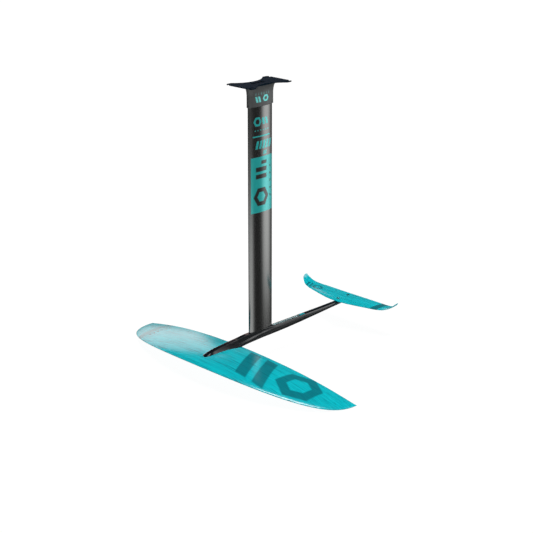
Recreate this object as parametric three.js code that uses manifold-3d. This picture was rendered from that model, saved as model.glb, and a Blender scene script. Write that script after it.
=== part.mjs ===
// A hydrofoil for a wind or wing board: a top plate that bolts under the board, a hollow
// aluminium mast, a fuselage, an arched front wing under its nose and a stabiliser on its tail.
// Millimetres. +X points forward to the nose, +Y to port, +Z up. The origin is on the mast's
// middle line, in the top plate's upper face, which lies against the board.

import * as THREE from 'three';
import { mergeVertices } from 'three/addons/utils/BufferGeometryUtils.js';
import Module from 'manifold-3d';

const wasm = await Module();
wasm.setup();

// ---- Driving dimensions ----

const gap = 0.3; // clearance between faces that touch
const footZ = -850; // foot of the mast, measured down from the board face

const mast = {
  chord: 110, thickness: 19, crest: 0.45, edge: 0.9, wall: 2.4, web: 2.4, noseWall: 4, tailWall: 25.3,
};
const collar = {
  wall: 3.2, foot: -75.5, footHeight: 1.6, footSlope: 0.6, // the foot is chamfered
  flareStart: -39.5, flareReach: 10, flareTurn: 0.96, // turn: the share of a quarter round
};
const plate = {
  middleX: 3, length: 190, width: 114, waist: 51, waistRadius: 95, thickness: 3, cornerRadius: 9,
};
const boss = { thickness: 2.5, reach: 4 }; // raised patch under the plate, around the collar
const slots = { spacingY: 90, width: 9, depth: 24 };
const block = { height: 60, gap: 0.25, ahead: 5, behind: 6, screwDepth: 32 }; // threaded, in the mast
const screwLine = { middle: 10, pitch: 20, count: 3 }; // along X, the same at head and foot
const gasket = { thickness: 1.2, reach: 0.5 };

const wing = {
  span: 987, tipX: 62.5, leadReach: 248.5, leadFullness: 93, trailReach: 14.5, trailFlare: 24,
  rootDrop: 34, tipDrop: 68.2, archFullness: 10,
  thickness: 0.1, crest: 0.42, camber: 0.01, edge: 1, skin: 1.6,
};
const wingScrews = { firstX: 120, pitch: 32, count: 3, insertLength: 9.5 };
const coreSpan = 0.92; // the foam ends here, as a share of the half span
const coreLeast = 0.5; // half the least thickness of the foam
const hardBlock = { margin: 18, width: 44 };
const stabiliser = {
  span: 443, tipX: -467.8, leadReach: 65, leadRoot: 22.9, trailReach: 21, trailRoot: 12.5,
  rootDrop: 2, sag: 4.2, curl: 30, curlPower: 11,
  thickness: 0.1, crest: 0.36, camber: 0, edge: 0.8,
};
const tailScrews = { xs: [-399, -452], insertLength: 6.5 };

// Metric fasteners. bore is the threaded hole's radius and shank the screw's, inside it.
const m8 = {
  shank: 3.7, bore: 4, head: 8, headHeight: 4.3, clearance: 4.5, insert: 5.6, key: 2.9, keyDepth: 3,
};
const m6 = {
  shank: 2.7, bore: 3, head: 5.8, headHeight: 3.2, clearance: 3.4, insert: 4.4, key: 2.3, keyDepth: 2,
};
const capHead = { radius: 6.5, height: 8, pocket: 6.9, key: 3.2, keyDepth: 4, sink: 1 };
const headSink = 0.2; // how far a countersunk head lies below its face
const tipPlay = 0.5; // left between a screw's end and the bottom of its insert
const through = 1; // how far a cutting body stands out of the face it opens

// ---- Colours ----

const finishes = {
  plate: { color: 0x16202a, roughness: 0.55, metalness: 0.6 },
  collar: { color: 0x55595a, roughness: 0.5, metalness: 0.6 },
  mast: { color: 0x3a3d3b, roughness: 0.35, metalness: 0.7 },
  block: { color: 0xa8abad, roughness: 0.4, metalness: 0.9 },
  rubber: { color: 0x141516, roughness: 0.9, metalness: 0 },
  fuselage: { color: 0x1a1d20, roughness: 0.4, metalness: 0.5 },
  laminate: { color: 0x12a9b4, roughness: 0.2, metalness: 0 },
  foam: { color: 0xe4dcc0, roughness: 0.9, metalness: 0 },
  hardLaminate: { color: 0x7d8a6a, roughness: 0.6, metalness: 0 },
  steel: { color: 0x55585a, roughness: 0.3, metalness: 1 },
};

// ---- Solids ----

// A closed geometry as a manifold solid, with its shared vertices merged.
function solid(geometry) {
  const bare = new THREE.BufferGeometry();
  const source = geometry.index ? geometry.toNonIndexed() : geometry;
  bare.setAttribute('position', source.getAttribute('position'));
  const merged = mergeVertices(bare, 1e-4);
  return new wasm.Manifold(new wasm.Mesh({
    numProp: 3,
    vertProperties: merged.attributes.position.array,
    triVerts: new Uint32Array(merged.index.array),
  }));
}

function geometryOf(manifold) {
  const mesh = manifold.getMesh();
  const geometry = new THREE.BufferGeometry();
  geometry.setAttribute('position', new THREE.BufferAttribute(mesh.vertProperties, 3));
  geometry.setIndex(new THREE.BufferAttribute(mesh.triVerts, 1));
  return geometry;
}

const without = (body, ...tools) => tools.reduce((rest, tool) => rest.subtract(tool), body);

// A round bar along Z, or a cone when the two radii differ.
function bar(x, y, lowZ, highZ, lowRadius, highRadius = lowRadius, sides = 20) {
  const geometry = new THREE.CylinderGeometry(highRadius, lowRadius, highZ - lowZ, sides);
  geometry.rotateX(Math.PI / 2).translate(x, y, (lowZ + highZ) / 2);
  return solid(geometry);
}

function box(low, high) {
  const size = high.map((value, i) => value - low[i]);
  const geometry = new THREE.BoxGeometry(...size);
  geometry.translate(...low.map((value, i) => value + size[i] / 2));
  return solid(geometry);
}

// A closed outline of [x, y] points carried straight up.
function prism(outline, lowZ, highZ) {
  const shape = new THREE.Shape(outline.map(([x, y]) => new THREE.Vector2(x, y)));
  const options = { depth: highZ - lowZ, bevelEnabled: false, steps: 1 };
  return solid(new THREE.ExtrudeGeometry(shape, options).translate(0, 0, lowZ));
}

// A skin over rings of the same number of points, closed by a flat cap on each end.
function loft(rings) {
  const count = rings[0].length;
  const corners = rings.flat();
  const faces = [];
  for (let i = 0; i + 1 < rings.length; i += 1) {
    for (let j = 0; j < count; j += 1) {
      const a = i * count + j;
      const b = i * count + ((j + 1) % count);
      faces.push(a, b, b + count, a, b + count, a + count);
    }
  }
  for (const [start, turn] of [[0, 1], [(rings.length - 1) * count, -1]]) {
    // A section is a strip of quads between its upper and its lower half.
    for (let j = 0; j < count / 2 - 1; j += 1) {
      const quad = [j, j + 1, count - 2 - j, count - 1 - j].map((k) => start + k);
      const [a, b, c, d] = turn > 0 ? [...quad].reverse() : quad;
      faces.push(a, b, c, a, c, d);
    }
  }
  const geometry = new THREE.BufferGeometry();
  geometry.setAttribute('position', new THREE.Float32BufferAttribute(corners.flat(), 3));
  geometry.setIndex(faces);
  let body = solid(geometry);
  if (body.volume() < 0) {
    for (let i = 0; i < faces.length; i += 3) [faces[i], faces[i + 1]] = [faces[i + 1], faces[i]];
    geometry.setIndex(faces);
    body = solid(geometry);
  }
  return body;
}

// ---- Curves ----

// Reads a value between [x, value] points that run from high x to low x, on straight lines.
function along(points, x) {
  if (x >= points[0][0]) return points[0][1];
  for (let i = 1; i < points.length; i += 1) {
    const [x1, v1] = points[i];
    const [x0, v0] = points[i - 1];
    if (x >= x1) return v0 + ((v1 - v0) * (x0 - x)) / (x0 - x1);
  }
  return points.at(-1)[1];
}

// Fractions from 0 to 1, close together at both ends.
const cosineSteps = (n) => Array.from(
  { length: n + 1 },
  (_, i) => (1 - Math.cos((Math.PI * i) / n)) / 2,
);

const screwXs = Array.from(
  { length: screwLine.count },
  (_, i) => screwLine.middle + screwLine.pitch * ((screwLine.count - 1) / 2 - i),
);

// ---- Mast section ----

// Half thickness of the mast at x: a half ellipse to the crest, then a parabola to a thin edge.
function mastHalf(x) {
  const u = (mast.chord / 2 - x) / mast.chord;
  const full = mast.thickness / 2;
  if (u <= mast.crest) return full * Math.sqrt(Math.max(0, 1 - ((mast.crest - u) / mast.crest) ** 2));
  const aft = (u - mast.crest) / (1 - mast.crest);
  return full - (full - mast.edge / 2) * aft ** 2;
}

// The mast's outline from the nose along port and back along starboard, moved out by reach.
function mastOutline(reach = 0, steps = 18) {
  const side = cosineSteps(steps).slice(1).map((u) => {
    const x = mast.chord / 2 - mast.chord * u;
    const slope = (mastHalf(x + 0.01) - mastHalf(x - 0.01)) / 0.02;
    const length = Math.hypot(slope, 1);
    return [x - (reach * slope) / length, mastHalf(x) + reach / length];
  });
  const [tailX, tailY] = side.at(-1);
  const port = [...side.slice(0, -1), [tailX - reach * 0.7, tailY]];
  const nose = [mast.chord / 2 + reach, 0];
  return [nose, ...port, ...port.map(([x, y]) => [x, -y]).reverse()];
}

// One cell between two X limits, a wall's thickness inside the mast's skin.
function cell(frontX, backX, inset = mast.wall, steps = 6) {
  const port = Array.from({ length: steps + 1 }, (_, i) => {
    const x = frontX + ((backX - frontX) * i) / steps;
    return [x, mastHalf(x) - inset];
  });
  return [...port, ...port.map(([x, y]) => [x, -y]).reverse()];
}

const webXs = [screwXs[0] + m8.bore + block.ahead, screwXs.at(-1) - m8.bore - block.behind];
const middleCell = [webXs[0] - mast.web / 2, webXs[1] + mast.web / 2];
const frontCell = [mast.chord / 2 - mast.noseWall, webXs[0] + mast.web / 2];
const backCell = [webXs[1] - mast.web / 2, mast.tailWall - mast.chord / 2];
const blockOutline = cell(middleCell[0] - block.gap, middleCell[1] + block.gap, mast.wall + block.gap);

const headZ = -plate.thickness - boss.thickness - gap; // top of the mast and of its collar

function makeMast() {
  const cells = [frontCell, middleCell, backCell]
    .map(([front, back]) => prism(cell(front, back), footZ - through, headZ + through));
  return without(prism(mastOutline(), footZ, headZ), ...cells);
}

function makeBlock(lowZ) {
  const holes = screwXs.map((x) => bar(x, 0, lowZ - through, lowZ + block.height + through, m8.bore));
  return without(prism(blockOutline, lowZ, lowZ + block.height), ...holes);
}

function makeGasket() {
  const highZ = footZ - gap;
  const lowZ = highZ - gasket.thickness;
  const holes = screwXs.map((x) => bar(x, 0, lowZ - through, highZ + through, m8.clearance));
  return without(prism(mastOutline(gasket.reach), lowZ, highZ), ...holes);
}

// ---- Collar and top plate ----

// How far the collar stands out from the mast at z: straight, then a quarter round flare.
function collarReach(z) {
  const foot = collar.foot + collar.footHeight;
  if (z < foot) return collar.wall - (foot - z) * collar.footSlope;
  const rise = Math.min(Math.max((z - collar.flareStart) / (headZ - collar.flareStart), 0), 1);
  return collar.wall + collar.flareReach * (1 - Math.sqrt(1 - rise ** 2 * collar.flareTurn));
}

function makeCollar() {
  const flare = [0, 0.3, 0.55, 0.75, 0.88, 0.96, 1];
  const levels = [
    collar.foot, collar.foot + collar.footHeight,
    ...flare.map((t) => collar.flareStart + (headZ - collar.flareStart) * t),
  ];
  const ring = (z) => mastOutline(collarReach(z)).map(([x, y]) => [x, y, z]);
  return without(loft(levels.map(ring)), prism(mastOutline(gap), collar.foot - through, headZ + through));
}

// The plate's outline: straight front and back, and a round waist cut into each side.
function plateOutline() {
  const [halfLength, halfWidth] = [plate.length / 2, plate.width / 2];
  const centreY = plate.waist / 2 + plate.waistRadius;
  const sideX = Math.sqrt(plate.waistRadius ** 2 - (centreY - halfWidth) ** 2);
  const shape = new THREE.Shape();
  const r = plate.cornerRadius;
  const reach = Math.asin(sideX / plate.waistRadius);
  shape.moveTo(halfLength, 0);
  shape.lineTo(halfLength, halfWidth - r);
  shape.absarc(halfLength - r, halfWidth - r, r, 0, Math.PI / 2, false);
  shape.absarc(0, centreY, plate.waistRadius, -Math.PI / 2 + reach, -Math.PI / 2 - reach, true);
  shape.absarc(r - halfLength, halfWidth - r, r, Math.PI / 2, Math.PI, false);
  shape.absarc(r - halfLength, r - halfWidth, r, Math.PI, Math.PI * 1.5, false);
  shape.absarc(0, -centreY, plate.waistRadius, Math.PI / 2 + reach, Math.PI / 2 - reach, true);
  shape.absarc(halfLength - r, r - halfWidth, r, Math.PI * 1.5, Math.PI * 2, false);
  return shape.getPoints(7).map((point) => [point.x + plate.middleX, point.y]);
}

function makePlate() {
  const sheet = prism(plateOutline(), -plate.thickness, 0);
  const patchReach = collar.wall + collar.flareReach + boss.reach;
  const patch = prism(mastOutline(patchReach), headZ + gap, -plate.thickness / 2);
  const slotCuts = [-1, 1].flatMap((sideX) => [-1, 1].map((sideY) => {
    const y = (sideY * slots.spacingY) / 2;
    const r = slots.width / 2;
    const endX = plate.middleX + sideX * (plate.length / 2 - slots.depth + r);
    const xs = [endX, plate.middleX + sideX * (plate.length / 2 + through)].sort((a, b) => a - b);
    return box([xs[0], y - r, -plate.thickness - through], [xs[1], y + r, through])
      .add(bar(endX, y, -plate.thickness - through, through, r));
  }));
  const screwCuts = screwXs.map((x) => bar(x, 0, headZ - through, through, m8.clearance)
    .add(bar(x, 0, -m8.headHeight - gap, 0, m8.clearance, m8.head + gap)));
  return without(sheet.add(patch), ...slotCuts, ...screwCuts);
}

// ---- Wings ----

const wingRootZ = footZ - wing.rootDrop;

// Half thickness of a section of unit chord, u of the way back from its nose: a half ellipse
// to the crest, then a parabola that runs out at the trailing edge.
const aerofoilHalf = (u, thickness, crest) => (thickness / 2) * (u < crest
  ? Math.sqrt(Math.max(0, 1 - (1 - u / crest) ** 2))
  : 1 - ((u - crest) / (1 - crest)) ** 2);

// The section of a wing at s, which runs from -1 at the starboard tip to 1 at the port tip:
// its nose x, chord, chord height, and functions for its middle and half thickness.
function section(shape, plan, s) {
  const w = Math.sqrt(1 - s * s);
  const { leadX, trailX, z } = plan(Math.abs(s), w);
  const chord = leadX - trailX;
  return {
    y: (s * shape.span) / 2,
    x: (u) => leadX - chord * u,
    middle: (u) => z + chord * shape.camber * 4 * u * (1 - u),
    half: (u) => Math.max(chord * aerofoilHalf(u, shape.thickness, shape.crest), shape.edge / 2),
  };
}

// Leading edge: an ellipse made fuller near the tips. Trailing edge: nearly straight, with the
// root drawn aft. Height: a parabola, a little steeper near the root.
const wingPlan = (s, w) => ({
  leadX: wing.tipX + w * (wing.leadReach + wing.leadFullness * (1 - w) ** 2.35),
  trailX: wing.tipX + wing.trailReach * w + wing.trailFlare * w ** 5,
  z: wingRootZ - s ** 2 * (wing.tipDrop + wing.archFullness * w ** 3),
});

// The same for the stabiliser, whose tips sag slightly and then curl up.
const stabiliserPlan = (s, w) => ({
  leadX: stabiliser.tipX + stabiliser.leadReach * w ** 0.7 + stabiliser.leadRoot * w ** 8,
  trailX: stabiliser.tipX - stabiliser.trailReach * w + stabiliser.trailRoot * w ** 4,
  z: footZ - stabiliser.rootDrop - stabiliser.sag * s ** 2 + stabiliser.curl * s ** stabiliser.curlPower,
});

// Stations along the span, close together at the tips, up to edge degrees of a quarter turn.
const stations = (n, edge) => Array.from({ length: 2 * n + 1 }, (_, i) => (
  Math.sin((((i - n) / n) * edge * Math.PI) / 180)));

// A solid between two height functions of (section, u), over the whole plan.
function wingBody(shape, plan, spans, chordSteps, upper, lower) {
  return loft(spans.map((s) => {
    const cut = section(shape, plan, s);
    const us = cosineSteps(chordSteps);
    const top = us.map((u) => [cut.x(u), cut.y, upper(cut, u)]);
    const under = us.map((u) => [cut.x(u), cut.y, lower(cut, u)]).reverse();
    return [...top, ...under];
  }));
}

const wingSpans = stations(16, 88.5);
const wingChordSteps = 10;
const stabiliserSpans = stations(13, 87);

const wingTop = (cut, u) => cut.middle(u) + cut.half(u);
const wingUnder = (cut, u) => cut.middle(u) - cut.half(u);
const underUpperSkin = (cut, u) => cut.middle(u) + Math.max(cut.half(u) - wing.skin, gap / 2);
const overLowerSkin = (cut, u) => cut.middle(u) - Math.max(cut.half(u) - wing.skin, gap / 2);
const coreInset = wing.skin + gap;

// The part of a section's chord where the core reaches its least thickness.
function coreRange(cut) {
  const deep = Array.from({ length: 201 }, (_, i) => i / 200)
    .filter((u) => cut.half(u) > coreInset + coreLeast);
  return [deep[0], deep.at(-1)];
}

const wingScrewXs = Array.from(
  { length: wingScrews.count },
  (_, i) => wingScrews.firstX + wingScrews.pitch * i,
);
const rootCut = section(wing, wingPlan, 0);
const rootU = (x) => (rootCut.x(0) - x) / (rootCut.x(0) - rootCut.x(1));
const wingSeat = (x) => wingTop(rootCut, rootU(x));
const wingBelly = (x) => wingUnder(rootCut, rootU(x));

// Through the wing, with a countersink whose rim is level with its lower surface.
const wingHoles = wingScrewXs.map((x) => {
  const lowZ = wingBelly(x) - through;
  return bar(x, 0, lowZ, wingSeat(x) + through, m8.clearance)
    .add(bar(x, 0, lowZ, wingBelly(x) + m8.headHeight + gap, m8.head + gap + through, m8.clearance));
});

const makeUpperSkin = () => without(
  wingBody(wing, wingPlan, wingSpans, wingChordSteps, wingTop, underUpperSkin), ...wingHoles);
const makeLowerSkin = () => without(
  wingBody(wing, wingPlan, wingSpans, wingChordSteps, overLowerSkin, wingUnder), ...wingHoles);

function blockBox(grow) {
  const x0 = wingScrewXs[0] - hardBlock.margin - grow;
  const x1 = wingScrewXs.at(-1) + hardBlock.margin + grow;
  const y = hardBlock.width / 2 + grow;
  return box([Math.max(x0, rootCut.x(0.93)), -y, wingRootZ - 60], [x1, y, wingRootZ + 60]);
}

// The space between the skins, trimmed to where the core is deep enough to be foam.
function coreBody() {
  const top = (cut, u) => cut.middle(u) + Math.max(cut.half(u) - coreInset, gap / 6);
  const under = (cut, u) => cut.middle(u) - Math.max(cut.half(u) - coreInset, gap / 6);
  const cuts = wingSpans.filter((s) => Math.abs(s) < coreSpan).map((s) => section(wing, wingPlan, s));
  const nose = cuts.map((cut) => [cut.x(coreRange(cut)[0]), cut.y]);
  const tail = cuts.map((cut) => [cut.x(coreRange(cut)[1]), cut.y]).reverse();
  return wingBody(wing, wingPlan, wingSpans, wingChordSteps, top, under)
    .intersect(prism([...nose, ...tail].reverse(), wingRootZ - 200, wingRootZ + 100));
}

const makeCore = () => without(coreBody(), blockBox(gap));
const makeHardBlock = () => without(coreBody().intersect(blockBox(0)), ...wingHoles);

const stabiliserBody = (grow = 0) => wingBody(
  stabiliser, stabiliserPlan, stabiliserSpans, 8,
  (cut, u) => wingTop(cut, u) + grow, (cut, u) => wingUnder(cut, u) - grow);
const tailCut = section(stabiliser, stabiliserPlan, 0);
const tailU = (x) => (tailCut.x(0) - x) / (tailCut.x(0) - tailCut.x(1));
const tailTop = (x) => wingTop(tailCut, tailU(x));
const tailSeat = (x) => wingUnder(tailCut, tailU(x));

function makeStabiliser() {
  const holes = tailScrews.xs.map((x) => {
    const highZ = tailTop(x) + through;
    return bar(x, 0, tailSeat(x) - through, highZ, m6.clearance)
      .add(bar(x, 0, tailTop(x) - m6.headHeight - gap, highZ, m6.clearance, m6.head + gap + through));
  });
  return without(stabiliserBody(), ...holes);
}

// ---- Fuselage ----

const seatZ = footZ - 2 * gap - gasket.thickness; // floor of the recess under the mast
const recessReach = gasket.reach + gap;

// Lines of one side of the fuselage, from nose to tail, as [x, half width, drop below the
// mast's foot]: the edge of the flat top, the foot of the upper wall, the outer edge of the
// ledge, the foot of the lower wall, and the keel. Ahead of the step at x = 115 the ledge and
// all below it lie inside the wing, whose upper surface cuts the nose off.
const topEdge = [
  [273.5, 0.6, 28], [272, 4, 26], [266, 6.5, 23.6], [257, 7.3, 22], [250, 7.5, 19.8], [243, 7.5, 17],
  [228, 7.5, 13.4], [203, 7.5, 10.5], [157, 7.5, 7.2], [111, 7.5, 4.8], [95, 7.5, 3.4], [75, 7.5, 1.8],
  [59, 7.5, 1.4], [-40, 7.5, 1.4], [-62, 7.5, 2.6], [-132, 7.5, 3.4], [-208, 7.5, 4.1], [-286, 7.4, 5.2],
  [-474, 7.2, 5.5],
];
const upperFoot = [
  [273.5, 0.8, 31], [272, 8, 30], [266, 14, 28.4], [257, 16.4, 28], [245, 17, 27], [115.1, 16, 26],
  [115, 9.6, 20], [60, 9.6, 14.5], [0, 9.6, 8.5], [-60, 9.8, 5.4], [-200, 10.2, 7], [-474, 9.2, 7.8],
];
const ledge = [
  [273.5, 0.8, 33], [272, 8, 32.6], [266, 14, 32], [257, 16.4, 32], [245, 17, 31], [115.1, 17, 29],
  [115, 15.4, 24.4], [60, 14.8, 19.4], [0, 14.2, 14], [-60, 13.6, 11.4], [-200, 12.6, 13],
  [-474, 10.4, 10.8],
];
const lowerFoot = [
  [273.5, 0.8, 38], [272, 8, 38], [266, 14, 38], [257, 16.4, 38], [245, 17, 34], [115.1, 17.2, 32],
  [115, 16.6, 29.5], [60, 16.1, 28.5], [0, 15.5, 27], [-79, 15, 27], [-124, 14.5, 26.3],
  [-200, 13, 24.5], [-278, 12, 20.5], [-358, 11.2, 16.5], [-474, 10.5, 12],
];
const keel = [
  [273.5, 0.8, 46], [272, 8, 46], [266, 14, 46], [257, 16.4, 46], [245, 17, 42], [115, 13, 34.5],
  [100, 11.5, 34.2], [81, 10, 33.8], [60, 9, 32.6], [0, 8.5, 31.2], [-79, 8.5, 31.2], [-124, 8, 30.8],
  [-200, 7, 28.6], [-278, 6.5, 24.8], [-358, 6.2, 20.4], [-474, 5.5, 15.3],
];
const fuselageLines = [topEdge, upperFoot, ledge, lowerFoot, keel];
const fuselageStations = [...new Set(fuselageLines.flat().map(([x]) => x))].sort((a, b) => b - a);

// A line's [y, z] at x.
function lineAt(line, x) {
  const halfWidth = along(line.map(([px, y]) => [px, y]), x);
  const drop = along(line.map(([px, , value]) => [px, value]), x);
  return [halfWidth, footZ - drop];
}

function fuselageRing(x) {
  const port = fuselageLines.map((line) => lineAt(line, x));
  return [...port.map(([y, z]) => [x, y, z]), ...port.map(([y, z]) => [x, -y, z]).reverse()];
}

const keelZ = (x) => lineAt(keel, x)[1];

// Everything below the front wing's upper surface, and a relief behind its trailing edge.
function wingRecess() {
  const tailX = rootCut.x(1);
  return wingBody(wing, wingPlan, wingSpans, wingChordSteps,
    (cut, u) => wingTop(cut, u) + gap, (cut, u) => cut.middle(u) - 80)
    .add(box([tailX - 0.5, -60, wingRootZ - 80], [tailX + 3, 60, wingRootZ + wing.edge / 2 + gap]));
}

const insertTopZ = (x) => wingSeat(x) + gap + wingScrews.insertLength;
const insertLowZ = (x) => tailSeat(x) - gap - tailScrews.insertLength;

function makeFuselage() {
  const body = loft(fuselageStations.map(fuselageRing));
  const mastSeat = prism(mastOutline(recessReach), seatZ, footZ + through);
  const mastHoles = screwXs.map((x) => bar(x, 0, keelZ(x) - through, footZ, m8.clearance)
    .add(bar(x, 0, keelZ(x) - through, keelZ(x) + capHead.sink + capHead.height, capHead.pocket)));
  const wingSockets = wingScrewXs.map((x) => (
    bar(x, 0, wingSeat(x) - through, insertTopZ(x) + gap, m8.insert + gap)));
  const tailSockets = tailScrews.xs.map((x) => (
    bar(x, 0, insertLowZ(x) - gap, tailSeat(x) + through, m6.insert + gap)));
  return without(
    body, wingRecess(), stabiliserBody(gap), mastSeat, ...mastHoles, ...wingSockets, ...tailSockets,
  );
}

// ---- Fasteners ----

// A hexagon key socket, cut down into a head from highZ.
const keySocket = (x, lowZ, highZ, radius) => bar(x, 0, lowZ, highZ, radius, radius, 6);

function plateScrew(x) {
  const neckZ = -headSink - m8.headHeight;
  const body = bar(x, 0, headZ - gap - block.screwDepth, neckZ + headSink, m8.shank)
    .add(bar(x, 0, neckZ, -headSink, m8.shank, m8.head));
  return without(body, keySocket(x, -headSink - m8.keyDepth, through, m8.key));
}

function footScrew(x) {
  const lowZ = keelZ(x) + capHead.sink;
  const body = bar(x, 0, lowZ, lowZ + capHead.height - gap, capHead.radius)
    .add(bar(x, 0, lowZ + through, footZ + gap + block.screwDepth, m8.shank));
  return without(body, keySocket(x, lowZ - through, lowZ + capHead.keyDepth, capHead.key));
}

function wingScrew(x) {
  const lowZ = wingBelly(x) + headSink;
  const neckZ = lowZ + m8.headHeight;
  const body = bar(x, 0, lowZ, neckZ, m8.head, m8.shank)
    .add(bar(x, 0, neckZ - headSink, insertTopZ(x) - tipPlay, m8.shank));
  return without(body, keySocket(x, lowZ - through, lowZ + m8.keyDepth, m8.key));
}

// A plain threaded bush, its open end trimmed to the face that it stands in.
function threadedInsert(x, lowZ, highZ, size, trim) {
  const bore = bar(x, 0, lowZ - through, highZ + through, size.bore);
  return without(bar(x, 0, lowZ, highZ, size.insert), bore, trim);
}

const wingInsert = (x) => threadedInsert(x, wingSeat(x), insertTopZ(x), m8, wingRecess());

function tailScrew(x) {
  const highZ = tailTop(x) - headSink;
  const neckZ = highZ - m6.headHeight;
  const body = bar(x, 0, neckZ, highZ, m6.shank, m6.head)
    .add(bar(x, 0, insertLowZ(x) + tipPlay, neckZ + headSink, m6.shank));
  return without(body, keySocket(x, highZ - m6.keyDepth, highZ + through, m6.key));
}

const tailInsert = (x) => threadedInsert(x, insertLowZ(x), tailSeat(x), m6, stabiliserBody(gap));

// ---- Assembly ----

const group = new THREE.Group();

function place(name, finish, body) {
  const mesh = new THREE.Mesh(geometryOf(body), new THREE.MeshStandardMaterial(finishes[finish]));
  mesh.name = name;
  group.add(mesh);
}

place('top_plate', 'plate', makePlate());
place('mast_head_collar', 'collar', makeCollar());
place('mast', 'mast', makeMast());
place('mast_head_block', 'block', makeBlock(headZ - gap - block.height));
place('mast_foot_block', 'block', makeBlock(footZ + gap));
place('mast_foot_gasket', 'rubber', makeGasket());
place('fuselage', 'fuselage', makeFuselage());
place('front_wing_upper_skin', 'laminate', makeUpperSkin());
place('front_wing_lower_skin', 'laminate', makeLowerSkin());
place('front_wing_core', 'foam', makeCore());
place('front_wing_hard_block', 'hardLaminate', makeHardBlock());
place('stabiliser', 'laminate', makeStabiliser());
screwXs.forEach((x, i) => {
  place(`top_plate_screw_${i + 1}`, 'steel', plateScrew(x));
  place(`mast_foot_screw_${i + 1}`, 'steel', footScrew(x));
});
wingScrewXs.forEach((x, i) => {
  place(`front_wing_screw_${i + 1}`, 'steel', wingScrew(x));
  place(`front_wing_insert_${i + 1}`, 'steel', wingInsert(x));
});
tailScrews.xs.forEach((x, i) => {
  place(`stabiliser_screw_${i + 1}`, 'steel', tailScrew(x));
  place(`stabiliser_insert_${i + 1}`, 'steel', tailInsert(x));
});

export default group;
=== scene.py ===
"""The looks of a hydrofoil for a wing or foil board: fine surfaces for the mast, its collar,
the fuselage, the front wing and the stabiliser, and a finish for every part.

Sizes are millimetres and are turned to metres when a mesh is made. +X is forward, +Y port and
+Z up, and the origin is in the top plate's upper face, on the middle of the mast.
"""

import math

import bpy
import numpy as np
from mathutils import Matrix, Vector


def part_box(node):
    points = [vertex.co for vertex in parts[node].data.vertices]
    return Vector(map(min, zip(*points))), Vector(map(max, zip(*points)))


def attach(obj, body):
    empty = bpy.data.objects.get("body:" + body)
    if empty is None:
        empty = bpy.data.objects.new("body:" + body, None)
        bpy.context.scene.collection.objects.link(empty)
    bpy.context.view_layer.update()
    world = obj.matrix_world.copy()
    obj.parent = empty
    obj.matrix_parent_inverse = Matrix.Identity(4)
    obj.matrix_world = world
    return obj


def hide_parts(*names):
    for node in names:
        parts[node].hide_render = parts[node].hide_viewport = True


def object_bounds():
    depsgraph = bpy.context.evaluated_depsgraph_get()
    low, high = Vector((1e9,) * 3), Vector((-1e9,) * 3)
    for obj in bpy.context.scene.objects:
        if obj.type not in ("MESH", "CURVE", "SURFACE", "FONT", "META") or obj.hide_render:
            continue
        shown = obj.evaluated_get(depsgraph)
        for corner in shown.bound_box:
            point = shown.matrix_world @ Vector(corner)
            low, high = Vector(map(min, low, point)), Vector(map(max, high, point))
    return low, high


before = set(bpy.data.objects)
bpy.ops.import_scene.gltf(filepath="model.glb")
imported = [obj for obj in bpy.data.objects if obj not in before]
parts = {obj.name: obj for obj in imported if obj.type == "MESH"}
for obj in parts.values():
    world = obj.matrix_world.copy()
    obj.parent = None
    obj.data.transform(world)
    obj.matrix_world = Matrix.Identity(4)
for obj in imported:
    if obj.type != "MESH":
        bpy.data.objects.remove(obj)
loaded_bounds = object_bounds()
scene = bpy.context.scene
MM = 0.001


def low_high(node):
    """The two corners of a CAD part's box, in millimetres."""
    low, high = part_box(node)
    return np.array(low) / MM, np.array(high) / MM


mast_low, mast_high = low_high("mast")
foot_z, head_z = mast_low[2], mast_high[2]
chord = mast_high[0] - mast_low[0]
thickness = mast_high[1] - mast_low[1]

# ---- Camera ----

camera = bpy.data.objects.new("camera", bpy.data.cameras.new("camera"))
scene.collection.objects.link(camera)
camera.data.lens = 87.96
camera.data.sensor_width = 36
camera.data.clip_end = 100
camera.location = (2.91476, 2.91370, 0.83973)
aim = Vector((-0.01475, 0.0149, -0.6255)) - camera.location
camera.rotation_euler = aim.to_track_quat("-Z", "Y").to_euler()
scene.camera = camera

# ---- Surfaces ----


def finish_mesh(name, points, faces, sharp_degrees, node_names, slot, masks=None):
    """A mesh object from points in millimetres, with its faces turned outwards, its edges sharp past
    an angle, and each mask kept as a number per point. It stands for the CAD parts named."""
    mesh = bpy.data.meshes.new(name)
    mesh.from_pydata((points * MM).tolist(), [], faces)
    for mask_name, values in (masks or {}).items():
        layer = mesh.attributes.new(mask_name, "FLOAT", "POINT")
        layer.data.foreach_set("value", values.astype(np.float32))
    mesh.polygons.foreach_set("use_smooth", np.ones(len(mesh.polygons), bool))
    mesh.set_sharp_from_angle(angle=math.radians(sharp_degrees))
    mesh.update()
    piece = bpy.data.objects.new(name, mesh)
    scene.collection.objects.link(piece)
    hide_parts(*node_names)
    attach(piece, "root")
    return piece


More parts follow.
